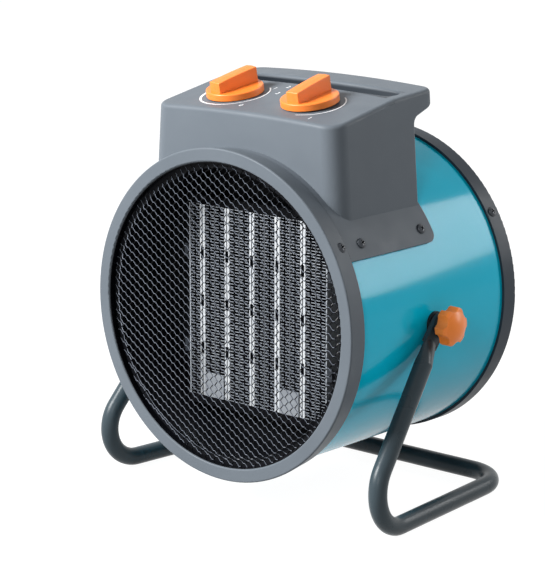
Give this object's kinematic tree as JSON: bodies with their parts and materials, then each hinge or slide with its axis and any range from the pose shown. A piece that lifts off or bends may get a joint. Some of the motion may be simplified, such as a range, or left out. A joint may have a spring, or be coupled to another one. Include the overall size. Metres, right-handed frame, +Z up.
{
  "type": "forced air heater",
  "caption": "Round electric fan heater: sheet drum between dark rings, meshed ceramic element, top housing with dials and carrying handle, tilting in a bent tube stand.",
  "frame": {"origin": "on the floor, at the middle of the overall box seen from above", "axes": "+X across the heater, -Y out of the outlet mesh, +Z up"},
  "size_m": [0.2628, 0.1856, 0.2986],
  "materials": {
    "drum_paint": "smooth satin turquoise paint",
    "ring_plastic": "fine-grained dark grey moulding",
    "housing_plastic": "fine-grained grey moulding",
    "orange_plastic": "smooth satin orange moulding",
    "stand_paint": "satin dark grey paint",
    "grille_paint": "black paint",
    "duct_steel": "dull sheet",
    "fin_aluminium": "bright folded strip",
    "bar_aluminium": "bright extrusion",
    "black_plastic": "moulded black",
    "fan_aluminium": "pressed and painted",
    "steel": "bare steel",
    "screw_steel": "dark plated",
    "brass": "bare brass",
    "pale_ceramic": "pale fired ceramic",
    "seal_rubber": "soft black"
  },
  "bodies": {
    "stand": {"stand_frame": "stand_paint"},
    "fan": {"fan_impeller": "fan_aluminium", "fan_nut": "brass", "motor_shaft": "steel"},
    "thermostat_dial": {"thermostat_knob": "orange_plastic", "thermostat_spindle": "brass"},
    "mode_dial": {"mode_knob": "orange_plastic", "mode_switch_spindle": "brass"},
    "star_left": {"left_star_knob": "orange_plastic", "left_clamp_stud": "steel", "left_clamp_washer": "black_plastic"},
    "star_right": {"right_star_knob": "orange_plastic", "right_clamp_stud": "steel", "right_clamp_washer": "black_plastic"},
    "heater": {"drum_shell": "drum_paint", "front_ring": "ring_plastic", "rear_ring": "ring_plastic", "front_mesh": "grille_paint", "rear_grille": "grille_paint", "inner_duct": "duct_steel", "element_baffle": "duct_steel", "ptc_bars": "bar_aluminium", "ptc_fins": "fin_aluminium", "element_dividers": "fin_aluminium", "element_side_plates": "fin_aluminium", "element_pads": "pale_ceramic", "element_end_caps": "black_plastic", "motor_body": "steel", "motor_bracket": "duct_steel", "motor_screws": "screw_steel", "bracket_screws": "screw_steel", "baffle_rivets": "steel", "thermal_cutout": "black_plastic", "control_housing": "housing_plastic", "thermostat_body": "black_plastic", "mode_switch_body": "black_plastic", "panel_screws": "screw_steel", "terminal_block": "black_plastic", "cable_gland_body": "black_plastic", "cable_gland_cap": "black_plastic", "cable_gland_nut": "black_plastic", "cable_gland_seal": "seal_rubber", "front_ring_screws": "screw_steel", "rear_ring_screws": "screw_steel", "saddle_screws": "screw_steel", "rivet_nuts": "steel", "pivot_spacers": "black_plastic"}
  },
  "joints": [
    {"name": "tilt", "type": "hinge", "parent": "stand", "child": "heater", "pos_m": [0, 0.00185, 0.1337], "axis": [1, 0, 0], "range_deg": [-15, 15]},
    {"name": "fan_spin", "type": "hinge", "parent": "heater", "child": "fan", "pos_m": [0, -0.00685, 0.1378], "axis": [0, 1, 0], "continuous": true},
    {"name": "thermostat_turn", "type": "hinge", "parent": "heater", "child": "thermostat_dial", "pos_m": [-0.0337, -0.03897, 0.28016], "axis": [0, 0.1822, -0.9833], "range_deg": [-135, 135]},
    {"name": "mode_turn", "type": "hinge", "parent": "heater", "child": "mode_dial", "pos_m": [0.0337, -0.03897, 0.28016], "axis": [0, 0.1822, -0.9833], "range_deg": [0, 135]},
    {"name": "star_left_turn", "type": "hinge", "parent": "heater", "child": "star_left", "pos_m": [-0.117, 0.00185, 0.1337], "axis": [1, 0, 0], "range_deg": [0, 360]},
    {"name": "star_right_turn", "type": "hinge", "parent": "heater", "child": "star_right", "pos_m": [0.117, 0.00185, 0.1337], "axis": [-1, 0, 0], "range_deg": [0, 360]}
  ]
}
